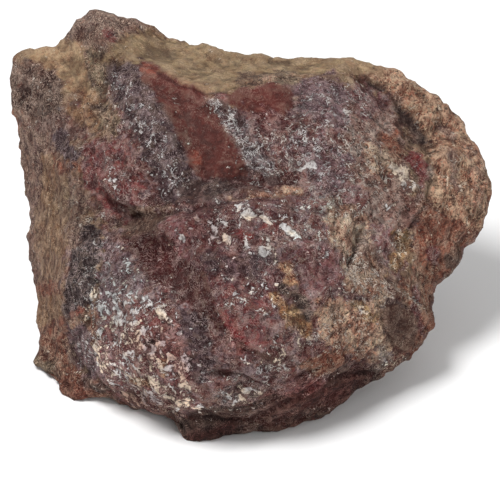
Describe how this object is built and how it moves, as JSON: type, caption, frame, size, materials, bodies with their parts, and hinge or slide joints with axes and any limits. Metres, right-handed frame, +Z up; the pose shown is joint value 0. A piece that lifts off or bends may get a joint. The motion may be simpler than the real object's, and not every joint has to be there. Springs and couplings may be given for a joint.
{
  "type": "rough jasper stone",
  "caption": "Rough jasper: a broken, unworked lump of red and mauve stone with a weathered tan rind, resting on a flat broken face",
  "frame": {"origin": "on the surface that the stone stands on, under the middle of the stone's box", "axes": "+Z up; +X along the stone's length; the show face looks towards -Y and leans back"},
  "size_m": [0.1228, 0.0944, 0.0754],
  "materials": {
    "jasper": "rough broken stone, mottled brick red, maroon and mauve grey with cream specks, tan weathered rind"
  },
  "bodies": {
    "root": {"jasper_stone": "jasper"}
  },
  "joints": []
}
